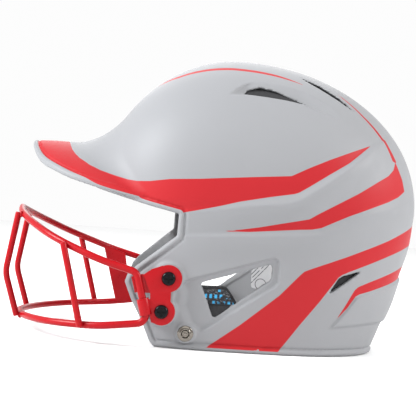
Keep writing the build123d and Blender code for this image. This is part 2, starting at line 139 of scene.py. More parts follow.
STRIPE_NAPE = [
    (92.9, 28.3), (98.6, 38), (105.6, 51.2), (108.5, 53.8), (117, 57.3), (139.3, 65.4), (175, 78.5),
    (175, 69), (139, 56.8), (118, 50.4), (110, 48.2), (107, 46.5), (101, 37.6),
]
# thin lines of the crown band: (x, y) of the middle of the line, and its half width
CROWN_LINE = [
    (-52, -20, 0.2), (-45, -28.8, 1.7), (-35, -37.5, 2.1), (-20, -43.2, 2.2), (-5, -47, 2.2),
    (11, -49.8, 2.1), (26, -51.6, 1.9), (41, -53.6, 1.5), (60, -57, 0.2),
]
REAR_LINE = [
    (88, -46, 0.2), (93.5, -49.2, 0.8), (108.4, -56.6, 1.2), (124, -61.6, 1.6), (129, -63, 1.9),
    (134, -64, 2.5),
]


def smooth_curve(x, points):
    """Smooth curve through given points, read at x."""
    xs = np.array([p[0] for p in points], dtype=np.float64)
    ys = np.array([p[1] for p in points], dtype=np.float64)
    slopes = np.gradient(ys, xs)
    x = np.clip(x, xs[0], xs[-1])
    i = np.clip(np.searchsorted(xs, x, side="right") - 1, 0, len(xs) - 2)
    h = xs[i + 1] - xs[i]
    t = (x - xs[i]) / h
    return (
        (1 + 2 * t) * (1 - t) ** 2 * ys[i] + t * (1 - t) ** 2 * h * slopes[i]
        + t * t * (3 - 2 * t) * ys[i + 1] + t * t * (t - 1) * h * slopes[i + 1]
    )


def ramp(x, low, high):
    """Smooth step from 0 at low to 1 at high."""
    t = np.clip((x - low) / (high - low), 0, 1)
    return t * t * (3 - 2 * t)


def outline_distance(x, z, corners):
    """Distance to a closed outline, negative inside."""
    pts = np.array(corners, dtype=np.float64)
    best = np.full(np.broadcast(x, z).shape, 1e9)
    inside = np.zeros(best.shape, dtype=bool)
    for a, b in zip(pts, np.roll(pts, -1, axis=0)):
        best = np.minimum(best, segment_distance(x, z, a, b)[0])
        if a[1] == b[1]:
            continue
        crosses = (a[1] > z) != (b[1] > z)
        inside ^= crosses & (x < a[0] + (z - a[1]) * (b[0] - a[0]) / (b[1] - a[1]))
    return np.where(inside, -best, best)


def segment_distance(x, z, a, b):
    """Distance to a straight run from a to b, and how far along it the nearest point is."""
    run = (b[0] - a[0], b[1] - a[1])
    along = ((x - a[0]) * run[0] + (z - a[1]) * run[1]) / (run[0] ** 2 + run[1] ** 2)
    along = np.clip(along, 0, 1)
    return np.hypot(x - a[0] - along * run[0], z - a[1] - along * run[1]), along


def tapered_line(x, y, points):
    """Distance to a line whose half width changes, negative inside, seen from above."""
    best = np.full(np.shape(x), 1e9)
    for (ax, ay, aw), (bx, by, bw) in zip(points, points[1:]):
        away, along = segment_distance(x, y, (ax, ay), (bx, by))
        best = np.minimum(best, away - (aw + (bw - aw) * along))
    return best


def head_field(x, y, z):
    """Zero on the shell's outer surface, negative inside. y is the distance from the middle."""
    t = np.clip((z - EQUATOR_Z) / DOME_HEIGHT, 0, None)
    low_z = np.minimum(z, EQUATOR_Z)
    reach = []
    for taper, power in ((FRONT_TAPER, FRONT_CURVE), (REAR_TAPER, REAR_CURVE), (SIDE_TAPER, SIDE_CURVE)):
        reach.append(np.where(z > EQUATOR_Z, 1 - t ** power, smooth_curve(low_z, taper) ** 2))
    front, rear, side = reach
    u = np.abs(x - WIDEST_X) / np.where(x < WIDEST_X, FRONT_LENGTH, REAR_LENGTH)
    v = y / HALF_WIDTH
    power = smooth_curve(z, PLAN_SQUARENESS)
    spread = (u ** power + v ** power) ** (2 / power)
    lengthwise = u * u / (u * u + v * v + 1e-6)
    return spread - (lengthwise * np.where(x < WIDEST_X, front, rear) + (1 - lengthwise) * side)


def surface_distance(points):
    """Distance of points from the plain outer surface, negative inside."""
    x, y, z = points[:, 0], np.abs(points[:, 1]), points[:, 2]
    here = head_field(x, y, z)
    step = 0.5
    slope = [
        (head_field(x + dx, np.abs(y + dy), z + dz) - here) / step
        for dx, dy, dz in ((step, 0, 0), (0, step, 0), (0, 0, step))
    ]
    return here / np.sqrt(sum(g * g for g in slope) + 1e-12)


def bill_reach(x, y):
    """1 on the bill's outline seen from above, less inside it."""
    along = np.clip((BILL_ROOT_X - x) / BILL_LENGTH, 0, None)
    return (along ** BILL_EXPONENT + (np.abs(y) / BILL_HALF_WIDTH) ** BILL_EXPONENT) ** (1 / BILL_EXPONENT)


def true_distance(field):
    """Distance to a field's zero surface, from its own slope."""
    slope = np.gradient(field, VOXEL)
    return field / np.sqrt(slope[0] ** 2 + slope[1] ** 2 + slope[2] ** 2 + 1e-12)


def fillet_union(a, b, radius):
    """Union with a concave fillet."""
    corner = np.hypot(np.maximum(radius - a, 0), np.maximum(radius - b, 0))
    return np.maximum(radius, np.minimum(a, b)) - corner


# shoulders: x, height of the upper edge of the bevel, height of the crease, step (mm)
SHOULDER_HIGH = [
    (-60, 100, 98, 0.0), (-8, 104.5, 103.6, 0.35), (14, 111.3, 107.3, 1.1), (50, 119, 112.7, 1.6),
    (57, 121.2, 115.4, 1.7), (71, 130.5, 124.4, 1.8), (93.5, 145.2, 141.2, 1.8), (112, 160.6, 155.5, 1.5),
    (122, 166, 164, 0.5), (135, 174, 172, 0.0),
]
SHOULDER_LOW = [
    (-40, 84.5, 83.3, 0.0), (-22, 85.2, 83.6, 0.4), (22.6, 89.9, 86.8, 1.1), (59, 93.9, 89.3, 1.3),
    (74, 96, 91.1, 1.3),
    (85, 101, 95.5, 1.2), (111, 112.2, 107.3, 1.0), (142, 126.5, 117.5, 0.7), (165, 133, 124, 0.0),
]
STEP_GAIN = 1.5          # multiplies the steps above
SHOULDER_FADE = (4, 22)  # how far below its crease a shoulder runs out
NAPE_PANEL = [
    (88, 21.5), (99, 34.6), (107.5, 45.8), (118, 49.6), (139, 56), (180, 70), (180, 26), (124, 24.3),
    (112, 23.6),
]
PANEL_HEIGHT = 1.7
PANEL_EDGE = (-0.3, 1.6)
PANEL_BACK_X = 112.0     # behind this the panel runs right across the back
RECESS_DEPTH = 2.5
RECESS_BEVEL, RECESS_SOFT_BEVEL = 1.1, 7.0
SCOOP_DEPTH = 4.6
SCOOP_EDGE = 1.2
SCOOP_RISE = 11.0        # from the lip of the scoop up to where it runs out
SCOOP_LIP = [(0, 189.6), (15.6, 191.8), (32, 192), (46, 190.2), (56, 188.3), (92, 176)]
SIDE_SCOOP = [
    (0, 189.6), (7, 196), (14, 200.5), (22, 204.4), (27, 205), (45, 203), (62, 197.5), (78, 189), (92, 178),
    (80, 180), (66, 184.6), (56, 188.3), (46, 190.2), (32, 192), (15.6, 191.8),
]
SIDE_SLOT = [(14.0, 192.4), (16, 195.2), (25.4, 198.4), (37, 196.3), (57.5, 188.2), (47, 189.8), (32, 191.2)]
CROWN_SLIT = [(59, 211), (74, 204.8), (89, 195.8), (99.5, 187), (88, 194.5), (73.2, 203)]
REAR_SLOT = [(86, 48.6), (92.5, 59.2), (95.5, 61), (107.5, 64.6), (97.5, 57)]


def relief(x, z):
    """How far the outer surface stands out of the plain form on the sides, by side view place."""
    height = np.zeros(np.broadcast(x, z).shape)
    for shoulder in (SHOULDER_HIGH, SHOULDER_LOW):
        upper = np.interp(x, [s[0] for s in shoulder], [s[1] for s in shoulder])
        crease = np.interp(x, [s[0] for s in shoulder], [s[2] for s in shoulder])
        step = np.interp(x, [s[0] for s in shoulder], [s[3] for s in shoulder])
        rise = np.clip((upper - z) / np.maximum(upper - crease, 0.5), 0, 1)
        fade = 1 - ramp(crease - z, *SHOULDER_FADE)
        height += STEP_GAIN * step * rise * fade
    recess = outline_distance(x, z, EAR_RECESS)
    # the bevel widens towards the screws
    bevel = RECESS_BEVEL + RECESS_SOFT_BEVEL * ramp(-x, 2, 18) * ramp(52 - z, 0, 12)
    height -= RECESS_DEPTH * ramp(-recess, 0, bevel)
    panel = outline_distance(x, z, NAPE_PANEL)
    height += PANEL_HEIGHT * ramp(-panel, *PANEL_EDGE)
    scoop = outline_distance(x, z, SIDE_SCOOP)
    lip_z = np.interp(x, [p[0] for p in SCOOP_LIP], [p[1] for p in SCOOP_LIP])
    lip = 1 - np.clip((z - lip_z) / SCOOP_RISE, 0, 1)
    along = ramp(x, 0, 16) * (1 - ramp(x, 50, 92))
    height -= SCOOP_DEPTH * ramp(-scoop, 0, SCOOP_EDGE) * lip * along
    return height


def capsule(x, y, z, a, b, radius):
    """Distance to a round bar from a to b."""
    run = [q - p for p, q in zip(a, b)]
    along = sum((c - p) * r for c, p, r in zip((x, y, z), a, run)) / sum(r * r for r in run)
    along = np.clip(along, 0, 1)
    away = [c - p - along * r for c, p, r in zip((x, y, z), a, run)]
    return np.sqrt(away[0] ** 2 + away[1] ** 2 + away[2] ** 2) - radius


def node_mm(name):
    """A CAD node's box in millimetres: low corner, high corner."""
    low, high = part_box(name)
    return np.array(low) / MM, np.array(high) / MM


def node_middle(name):
    low, high = node_mm(name)
    return (low + high) / 2


screw_spots = [node_middle(f"mask_screw_{level}_left") for level in ("upper", "lower")]
snap_spot = node_middle("chin_snap_stud_left")
BOSS_FACE = 100.8
BOSS_R, BOSS_NECK = 11.0, 7.0
SNAP_FACE, SNAP_BOSS_R = 95.6, 7.4
LEG_TOP, LEG_FOOT, LEG_TROUGH_R = (-60, 101.4, 63.5), (-44, 101.4, 10), 4.5


def shell_field():
    """The whole shell as distances on a grid over one half, with the place of each axis."""
    low, high = node_mm("shell")
    pad = 3 * VOXEL + 2.5
    xs = np.arange(low[0] - pad, high[0] + pad, VOXEL)
    ys = np.arange(0, high[1] + pad, VOXEL)
    zs = np.arange(low[2] - 3 * VOXEL, high[2] + pad, VOXEL)
    x, y, z = xs[:, None, None], ys[None, :, None], zs[None, None, :]
    flat_x, flat_z = xs[:, None], zs[None, :]

    plain = true_distance(head_field(x, y, z)).astype(np.float32)
    outward = relief(flat_x, flat_z)[:, None, :] * ramp(y, 14, 46)
    panel = outline_distance(flat_x, flat_z, NAPE_PANEL)[:, None, :]
    across = np.maximum(outward, PANEL_HEIGHT * ramp(-panel, *PANEL_EDGE))
    outward = np.where(x > PANEL_BACK_X, across, outward)
    outer = plain - outward.astype(np.float32)

    # bill: an arched sheet with a rolled edge
    drop = smooth_curve(xs, BILL_ARCH)[:, None, None]
    lean = 1 / np.sqrt(1 + (2 * drop * y) ** 2)
    above = (z - smooth_curve(xs, BILL_TOP)[:, None, None] + drop * y * y) * lean
    plan_x, plan_y = (BILL_ROOT_X - flat_x) / BILL_LENGTH, ys[None, :] / BILL_HALF_WIDTH
    plan = (np.abs(plan_x) ** BILL_EXPONENT + plan_y ** BILL_EXPONENT) ** (1 / BILL_EXPONENT) - 1
    slope = np.gradient(plan, VOXEL)
    plan = (plan / np.hypot(slope[0], slope[1]))[:, :, None]
    plan = np.where(x > BILL_ROOT_X - 6, 60.0, plan)
    sheet = np.maximum(np.maximum(above, -above - BILL_THICKNESS), plan + 1.2)
    fillet = FILLET_MIDDLE + (FILLET_SIDE - FILLET_MIDDLE) * (y / 88) ** 1.6
    fillet = np.where(above > -BILL_THICKNESS / 2, fillet, FILLET_UNDER)
    body = fillet_union(outer, sheet, fillet)
    groove_r = GROOVE_R * (1 - ramp(x, *BILL_GROOVE_FADE))
    groove = np.hypot(plan + 2 * BILL_BEAD_R + BILL_GROOVE_GAP, above) - groove_r
    body = np.maximum(body, -np.where(x < BILL_GROOVE_FADE[1], groove, AWAY))

    # bosses for the mask plate and the snap
    upper, lower = screw_spots
    bone = segment_distance(flat_x, flat_z, (upper[0], upper[2]), (lower[0], lower[2]))[0]
    ends = [np.hypot(flat_x - s[0], flat_z - s[2]) - BOSS_R for s in screw_spots]
    bone = np.minimum(np.minimum(ends[0], ends[1]), bone - BOSS_NECK)[:, None, :]
    body = fillet_union(body, np.maximum(np.maximum(bone, y - BOSS_FACE), 90 - y), 3.0)
    snap = np.hypot(flat_x - snap_spot[0], flat_z - snap_spot[2])[:, None, :] - SNAP_BOSS_R
    body = fillet_union(body, np.maximum(np.maximum(snap, y - SNAP_FACE), 88 - y), 2.0)
    body = np.maximum(body, -capsule(x, y, z, LEG_TOP, LEG_FOOT, LEG_TROUGH_R))

    # hollow it, then open the face and cut the lower rim
    shell = np.maximum(body, -(plain - 0.8 * np.minimum(outward, 0) + WALL))
    face = outline_distance(flat_x, flat_z, FACE_OPENING)
    edge = np.minimum(face, flat_z)[:, None, :]
    shell = np.maximum(shell, -edge)
    groove = np.hypot(edge - 2 * BEAD_R - GROOVE_GAP, outer) - GROOVE_R
    shell = np.maximum(shell, -np.where(x > FACE_GROOVE_X, groove, AWAY))
    bead = np.hypot(edge - BEAD_R, plain + BEAD_SINK) - BEAD_R
    shell = np.minimum(shell, bead)
    bill_bead = np.hypot(plan + BILL_BEAD_R, above + BILL_BEAD_R - 0.1) - BILL_BEAD_R - 0.2
    shell = np.minimum(shell, np.where(plain > -2.5, bill_bead, AWAY))

    # windows and vents
    for outline, bevel in ((EAR_WINDOW, 0.7), (SIDE_SLOT, 0.3), (CROWN_SLIT, 0.2), (REAR_SLOT, 0.6)):
        gap = outline_distance(flat_x, flat_z, outline)[:, None, :]
        gap = gap - np.clip(outer + bevel + 2.2, 0, bevel)
        shell = np.maximum(shell, -np.where(y > 30, gap, AWAY))
    return shell.astype(np.float32), (xs, ys, zs)


def shell_mesh():
    """Shell as one closed mesh, both halves."""
    half, (xs, ys, zs) = shell_field()
    half = np.clip(half, -3 * VOXEL, 3 * VOXEL)
    both = np.concatenate([half[:, :0:-1, :], half], axis=1)
    grid = vdb.FloatGrid(3 * VOXEL)
    grid.copyFromArray(np.ascontiguousarray(both), ijk=(0, 0, 0), tolerance=1e-4)
    points, triangles, quads = grid.convertToPolygons(isovalue=0.0, adaptivity=0.0)
    start = np.array([xs[0], -ys[-1], zs[0]])
    points = points * VOXEL + start
    faces = [list(map(int, f[::-1])) for f in triangles] + [list(map(int, f[::-1])) for f in quads]
    mesh = bpy.data.meshes.new("shell_skin")
    mesh.from_pydata((points * MM).tolist(), [], faces)
    mesh.validate()
    return mesh, points


def add_attribute(mesh, name, values):
    layer = mesh.attributes.new(name, "FLOAT", "POINT")
    layer.data.foreach_set("value", np.asarray(values, dtype=np.float32))


def paint_distance(points):
    """How far each point is outside the red graphics, mm."""
    x, y, z = points[:, 0], -np.abs(points[:, 1]), points[:, 2]
    paint = np.minimum.reduce([
        outline_distance(x, z, STRIPE_MIDDLE),
        outline_distance(x, z, STRIPE_REAR),
        outline_distance(x, z, STRIPE_NAPE),
        outline_distance(x, z, STRIPE_BROW),
    ])
    line = np.minimum(tapered_line(x, y, CROWN_LINE), tapered_line(x, y, REAR_LINE))
    paint = np.where(z > 150, np.minimum(paint, line), paint)
    on_bill = outline_distance(x, -y, BILL_BAND)
    paint = paint + (on_bill - paint) * ramp(-x, -BAND_JOIN_X[1], -BAND_JOIN_X[0])
    # the rolled rim, the inside of the shell and the underside of the bill stay grey
    reach = bill_reach(x, -y)
    slope = np.hypot(bill_reach(x - 0.5, -y) - reach, bill_reach(x, -y + 0.5) - reach) / 0.5
    rim = (1 - reach) / np.maximum(slope, 1e-3) + RIM_WIDTH - smooth_curve(x, BILL_RIM)
    edge = outline_distance(x, z, FACE_OPENING)
    edge = edge + (rim - edge) * ramp(-x, -RIM_JOIN_X[1], -RIM_JOIN_X[0])
    edge = np.minimum(edge, z + BASE_RIM_GAP)
    depth = -surface_distance(points)
    sheet = smooth_curve(x, BILL_TOP) - smooth_curve(x, BILL_ARCH) * y * y - z
    depth = np.where(depth > -1.0, depth, sheet)
    return np.maximum.reduce([paint, RIM_WIDTH - edge, depth - PAINT_DEPTH])


# ---------------------------------------------------------------- materials


def new_material(name):
    material = bpy.data.materials.new(name)
    material.use_nodes = True
    nodes = material.node_tree.nodes
    return material, nodes, material.node_tree.links, nodes["Principled BSDF"]


def noise(nodes, links, scale, detail=3.0, roughness=0.5, stretch=(1, 1, 1)):
    """Noise in object space, in cycles per metre."""
    place = nodes.new("ShaderNodeTexCoord")
    mapping = nodes.new("ShaderNodeMapping")
    mapping.inputs["Scale"].default_value = stretch
    texture = nodes.new("ShaderNodeTexNoise")
    texture.inputs["Scale"].default_value = scale
    texture.inputs["Detail"].default_value = detail
    texture.inputs["Roughness"].default_value = roughness
    links.new(place.outputs["Object"], mapping.inputs["Vector"])
    links.new(mapping.outputs["Vector"], texture.inputs["Vector"])
    return texture


def bump(nodes, links, height, shader, strength, distance):
    node = nodes.new("ShaderNodeBump")
    node.inputs["Strength"].default_value = strength
    node.inputs["Distance"].default_value = distance
    links.new(height, node.inputs["Height"])
    links.new(node.outputs["Normal"], shader.inputs["Normal"])
    return node


def mix_colors(nodes, links, factor, a, b):
    """Colour a where factor is 0, b where it is 1. Each may be a colour or a socket."""
    node = nodes.new("ShaderNodeMix")
    node.data_type = "RGBA"
    for socket, value in ((node.inputs["A"], a), (node.inputs["B"], b)):
        if isinstance(value, tuple):
            socket.default_value = (*value, 1)
        else:
            links.new(value, socket)
    if isinstance(factor, (int, float)):
        node.inputs["Factor"].default_value = factor
    else:
        links.new(factor, node.inputs["Factor"])
    return node.outputs["Result"]


def map_range(nodes, links, value, low, high, out_low=0.0, out_high=1.0):
    node = nodes.new("ShaderNodeMapRange")
    node.inputs["From Min"].default_value = low
    node.inputs["From Max"].default_value = high
    node.inputs["To Min"].default_value = out_low
    node.inputs["To Max"].default_value = out_high
    links.new(value, node.inputs["Value"])
    return node.outputs["Result"]


SHELL_GREY = (0.226, 0.229, 0.238)
SHELL_RED = (0.345, 0.011, 0.015)


def shell_material():
    material, nodes, links, shader = new_material("shell_matte_paint")
    graphic = nodes.new("ShaderNodeAttribute")
    graphic.attribute_name = "graphic"
    edge = map_range(nodes, links, graphic.outputs["Fac"], -0.12, 0.12)
    mottle = noise(nodes, links, 26.0, 4.0)
    grey = mix_colors(nodes, links, mottle.outputs["Fac"], tuple(c * 0.965 for c in SHELL_GREY), SHELL_GREY)
    red = mix_colors(nodes, links, mottle.outputs["Fac"], tuple(c * 0.94 for c in SHELL_RED), SHELL_RED)
    links.new(mix_colors(nodes, links, edge, red, grey), shader.inputs["Base Color"])
    grain = noise(nodes, links, 1400.0, 2.0)
    rough = map_range(nodes, links, grain.outputs["Fac"], 0.2, 0.8, 0.44, 0.54)
    shader.inputs["Specular IOR Level"].default_value = 0.16
    links.new(rough, shader.inputs["Roughness"])
    bump(nodes, links, grain.outputs["Fac"], shader, 0.05, 0.0004)
    return material


def plain_material(
    name, color, roughness, metallic=0.0, grain=900.0, bumpiness=0.04, specular=0.5, shade=0.93
):
    """Moulded, coated or plated surface with fine grain and slight colour variation."""
    material, nodes, links, shader = new_material(name)
    mottle = noise(nodes, links, 60.0, 4.0)
    dark = tuple(c * shade for c in color)
    links.new(mix_colors(nodes, links, mottle.outputs["Fac"], dark, color), shader.inputs["Base Color"])
    shader.inputs["Metallic"].default_value = metallic
    shader.inputs["Specular IOR Level"].default_value = specular
    fine = noise(nodes, links, grain, 2.0)
    rough = map_range(nodes, links, fine.outputs["Fac"], 0.2, 0.8, roughness * 0.85, roughness * 1.15)
    links.new(rough, shader.inputs["Roughness"])
    bump(nodes, links, fine.outputs["Fac"], shader, bumpiness, 0.0005)
    return material


mask_red = plain_material(
    "mask_powder_coat", (0.32, 0.0025, 0.006), 0.3, grain=700.0, bumpiness=0.015, specular=0.16
)
screw_black = plain_material("screw_gloss_black", (0.003, 0.003, 0.004), 0.2, specular=0.12)
nickel = plain_material("snap_nickel", (0.21, 0.19, 0.165), 0.15, metallic=1.0, grain=1500.0, shade=0.75)
zinc = plain_material("nut_zinc", (0.62, 0.63, 0.64), 0.38, metallic=1.0, grain=1200.0)

# ---------------------------------------------------------------- pieces


def make_piece(name, mesh, material, replaces, body="helmet"):
    piece = bpy.data.objects.new(name, mesh)
    bpy.context.scene.collection.objects.link(piece)
    mesh.materials.clear()
    mesh.materials.append(material)
    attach(piece, body)
    if replaces:
        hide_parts(*replaces)
    return piece


skin, skin_points = shell_mesh()
add_attribute(skin, "graphic", paint_distance(skin_points))
skin.shade_smooth()
make_piece("shell_skin", skin, shell_material(), ["shell"])


# ---------------------------------------------------------------- padding
CLOTH_FRAMES = 14
PAD_GRID, FOAM_GRID = 3.6, 3.0      # mesh size of the covers and of the foams
PAD_TUCK = 0.9           # a cover is drawn in by this before it is blown up
PAD_DEPTH = 15.6         # nearest that a cover comes to the shell's outer surface
PRINT_BLUE = (0.03, 0.28, 0.52)
PLAIN_BLACK = (0.006, 0.006, 0.007)
PRINT_FOOT = (0.0192, 0.0196)       # z below which the fabric is plain, m


def node_solid(node):
    """Corner points (mm) and faces of a CAD node."""
    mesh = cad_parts[node].data
    points = np.zeros(len(mesh.vertices) * 3, dtype=np.float32)
    mesh.vertices.foreach_get("co", points)
    return points.reshape(-1, 3) / MM, faces_of(mesh)


def to_mesh(name, points, faces):
    mesh = bpy.data.meshes.new(name)
    mesh.from_pydata((np.asarray(points) * MM).tolist(), [], faces)
    mesh.validate()
    mesh.shade_smooth()
    return mesh


def faces_of(mesh):
    return [tuple(p.vertices) for p in mesh.polygons]


def points_of(mesh):
    points = np.zeros(len(mesh.vertices) * 3, dtype=np.float32)
    mesh.vertices.foreach_get("co", points)
    return points.reshape(-1, 3).astype(np.float64) / MM


def normals_of(mesh):
    normals = np.zeros(len(mesh.vertices) * 3, dtype=np.float32)
    mesh.vertex_normals.foreach_get("vector", normals)
    return normals.reshape(-1, 3).astype(np.float64)


def through_modifiers(mesh, *modifiers, frames=0):
    """Copy of a mesh with modifiers applied: (type, {setting: value}) each."""
    item = bpy.data.objects.new("work", mesh)
    bpy.context.scene.collection.objects.link(item)
    for kind, settings in modifiers:
        modifier = item.modifiers.new(kind, kind)
        for key, value in settings.items():
            owner = modifier
            *path, last = key.split(".")
            for part in path:
                owner = getattr(owner, part)
            setattr(owner, last, value)
    scene = bpy.context.scene
    for number in range(1, frames + 1):
        scene.frame_set(number)
    graph = bpy.context.evaluated_depsgraph_get()
    result = bpy.data.meshes.new_from_object(item.evaluated_get(graph))
    bpy.data.objects.remove(item)
    if frames:
        scene.frame_set(1)
    return result


def remeshed(node, voxel, smoothing):
    """A CAD node as an even mesh with softened corners."""
    points, faces = node_solid(node)
    return through_modifiers(
        to_mesh(node + "_even", points, faces),
        ("REMESH", {"mode": "VOXEL", "voxel_size": voxel * MM, "use_smooth_shade": True}),
        ("SMOOTH", {"factor": 0.5, "iterations": smoothing}),
    )


def outward_slope(points):
    """Unit direction of growing distance from the head, at each point."""
    step = 0.5
    sides = []
    for axis in range(3):
        move = np.zeros(3)
        move[axis] = step
        sides.append(surface_distance(points + move) - surface_distance(points - move))
    slope = np.stack(sides, axis=1)
    return slope / (np.linalg.norm(slope, axis=1, keepdims=True) + 1e-9)


def pushed_below(points, depth):
    """Points moved inwards until they are at least depth under the outer surface."""
    for _ in range(2):
        short = np.clip(depth + surface_distance(points), 0, None)
        points = points - outward_slope(points) * short[:, None]
    return points


def channel(distance, width, depth):
    """Depth of a rounded groove at a distance from its middle line."""
    return depth * np.exp(-((distance / width) ** 2))


def swollen(mesh, cap):
    """Cloth simulation of a padded cover under pressure. A point moves at most cap, and never outwards."""
    start = points_of(mesh)
    result = through_modifiers(
        mesh,
        ("CLOTH", {
            "settings.quality": 5, "settings.mass": 0.3, "settings.tension_stiffness": 12,
            "settings.compression_stiffness": 8, "settings.bending_stiffness": 0.4,
            "settings.use_pressure": True, "settings.uniform_pressure_force": 4.0,
            "settings.effector_weights.gravity": 0.0,
        }),
        frames=CLOTH_FRAMES,
    )
    moved = points_of(result) - start
    moved -= moved.mean(axis=0)
    away = outward_slope(start)
    out = (moved * away).sum(axis=1, keepdims=True)
    moved -= away * np.clip(out, 0, None)
    size = np.linalg.norm(moved, axis=1, keepdims=True)
    return start + moved * np.minimum(1, cap / np.maximum(size, 1e-6))


def cushion(name, node, grooves, material, cap=2.4, pairs=()):
    """Comfort pad from its CAD solid: swollen cover, sewn grooves. Pairs get a mirrored copy."""
    even = remeshed(node, PAD_GRID, 7)
    even = to_mesh(name + "_tight", points_of(even) - normals_of(even) * PAD_TUCK, faces_of(even))
    puffed = to_mesh(name + "_puffed", swollen(even, cap), faces_of(even))
    fine = through_modifiers(puffed, ("SUBSURF", {"levels": 1, "render_levels": 1}))
    points = pushed_below(points_of(fine), PAD_DEPTH)
    away = outward_slope(points)
    inner_face = np.clip((normals_of(fine) * -away).sum(axis=1), 0, 1)
    points += away * (inner_face * grooves(points))[:, None]
    make_pair(name, points, faces_of(fine), material, node, pairs)


def make_pair(name, points, faces, material, node, pairs):
    """The piece itself, and its mirror image where there is a node on the other side."""
    copies = [(name, node, points, faces)]
    for other_name, other_node in pairs:
        copies.append((other_name, other_node, points * (1, -1, 1), [f[::-1] for f in faces]))
    for piece_name, replaced, place, rings in copies:
        piece = make_piece(piece_name, to_mesh(piece_name, place, rings), material, [replaced])


def foam_block(name, node, grooves, material, pairs=()):
    """Liner foam from its CAD solid, with rounded edges and moulded grooves on the head side."""
    even = remeshed(node, FOAM_GRID, 3)
    points = pushed_below(points_of(even) - normals_of(even) * 0.15, WALL + 0.25)
    away = outward_slope(points)
    inner_face = np.clip((normals_of(even) * -away).sum(axis=1), 0, 1)
    points += away * (inner_face * grooves(points))[:, None]
    make_pair(name, points, faces_of(even), material, node, pairs)


def knit_material(name, color, fleck, print_on=False):
    """Heathered knit: small loops in relief, lighter flecks, and pale blue printed dashes if print_on."""
    material, nodes, links, shader = new_material(name)
    loops = nodes.new("ShaderNodeTexVoronoi")
    loops.inputs["Scale"].default_value = 950.0
    place = nodes.new("ShaderNodeTexCoord")
    links.new(place.outputs["Object"], loops.inputs["Vector"])
    flecks = noise(nodes, links, 520.0, 2.0, stretch=(1, 1, 2.2))
    amount = map_range(nodes, links, flecks.outputs["Fac"], 0.52, 0.66)
    yarn = mix_colors(nodes, links, amount, color, fleck)
    if print_on:
        marks = nodes.new("ShaderNodeTexBrick")
        marks.offset = 0.37
        marks.inputs["Scale"].default_value = 1.0
        marks.inputs["Brick Width"].default_value = 0.0046
        marks.inputs["Row Height"].default_value = 0.0058
        marks.inputs["Mortar Size"].default_value = 0.0012
        marks.inputs["Mortar Smooth"].default_value = 0.1
        turn = nodes.new("ShaderNodeMapping")
        turn.inputs["Rotation"].default_value = (math.radians(90), 0, 0)
        links.new(place.outputs["Object"], turn.inputs["Vector"])
        links.new(turn.outputs["Vector"], marks.inputs["Vector"])
        patches = noise(nodes, links, 105.0, 1.0)
        broken = map_range(nodes, links, patches.outputs["Fac"], 0.50, 0.54)
        inside = nodes.new("ShaderNodeMath")
        inside.operation = "SUBTRACT"
        inside.inputs[0].default_value = 1.0
        links.new(marks.outputs["Fac"], inside.inputs[1])
        both = nodes.new("ShaderNodeMath")
        both.operation = "MULTIPLY"
        links.new(inside.outputs["Value"], both.inputs[0])
        links.new(broken, both.inputs[1])
        split = nodes.new("ShaderNodeSeparateXYZ")
        links.new(place.outputs["Object"], split.inputs["Vector"])
        upper = map_range(nodes, links, split.outputs["Z"], *PRINT_FOOT)
        limited = nodes.new("ShaderNodeMath")
        limited.operation = "MULTIPLY"
        links.new(both.outputs["Value"], limited.inputs[0])
        links.new(upper, limited.inputs[1])
        yarn = mix_colors(nodes, links, limited.outputs["Value"], yarn, PRINT_BLUE)
        yarn = mix_colors(nodes, links, upper, PLAIN_BLACK, yarn)
    links.new(yarn, shader.inputs["Base Color"])
    shader.inputs["Roughness"].default_value = 0.93
    shader.inputs["Sheen Weight"].default_value = 0.25
    bump(nodes, links, loops.outputs["Distance"], shader, 0.5, 0.0004)
    return material


knit_black = knit_material("pad_knit", (0.012, 0.012, 0.014), (0.055, 0.055, 0.062))
knit_printed = knit_material("pad_knit_printed", (0.010, 0.010, 0.012), (0.10, 0.10, 0.11), print_on=True)
foam_black = plain_material(
    "liner_foam_black", (0.016, 0.016, 0.018), 0.85, grain=420.0, bumpiness=0.35, shade=0.6
)


def crown_grooves(p):
    ring = np.hypot((p[:, 0] - WIDEST_X) / 1.25, p[:, 1])
    cross = np.minimum(np.abs(p[:, 1]), np.abs(p[:, 0] - WIDEST_X))
    return np.maximum(channel(ring - 30, 3.2, 3.2), channel(cross, 3.2, 3.2) * ramp(ring, 28, 34))


def upright_grooves(spacing, depth, width=3.0):
    """Grooves up the front and back pads, every so many degrees round the head."""
    def grooves(p):
        turn = np.degrees(np.arctan2(p[:, 1], np.abs(p[:, 0] - WIDEST_X)))
        reach = np.hypot(p[:, 0] - WIDEST_X, p[:, 1])
        off = np.abs((turn + spacing / 2) % spacing - spacing / 2)
        return channel(np.radians(off) * reach, width, depth)
    return grooves


def side_grooves(p):
    level = np.abs(p[:, 2] - 119)
    return np.maximum(channel(level, 3.0, 3.0), channel(np.abs(p[:, 0] - 16), 3.0, 3.0) * (p[:, 2] > 119))


def jaw_grooves(p):
    """One sewn line between the printed upper half and the plain lower half."""
    return channel(np.abs(p[:, 2] - 19.4), 1.6, 1.6)


def foam_grooves(spacing, depth):
    def grooves(p):
        level = np.abs((p[:, 2] + spacing / 2) % spacing - spacing / 2)
        return channel(level, 2.2, depth)
    return grooves


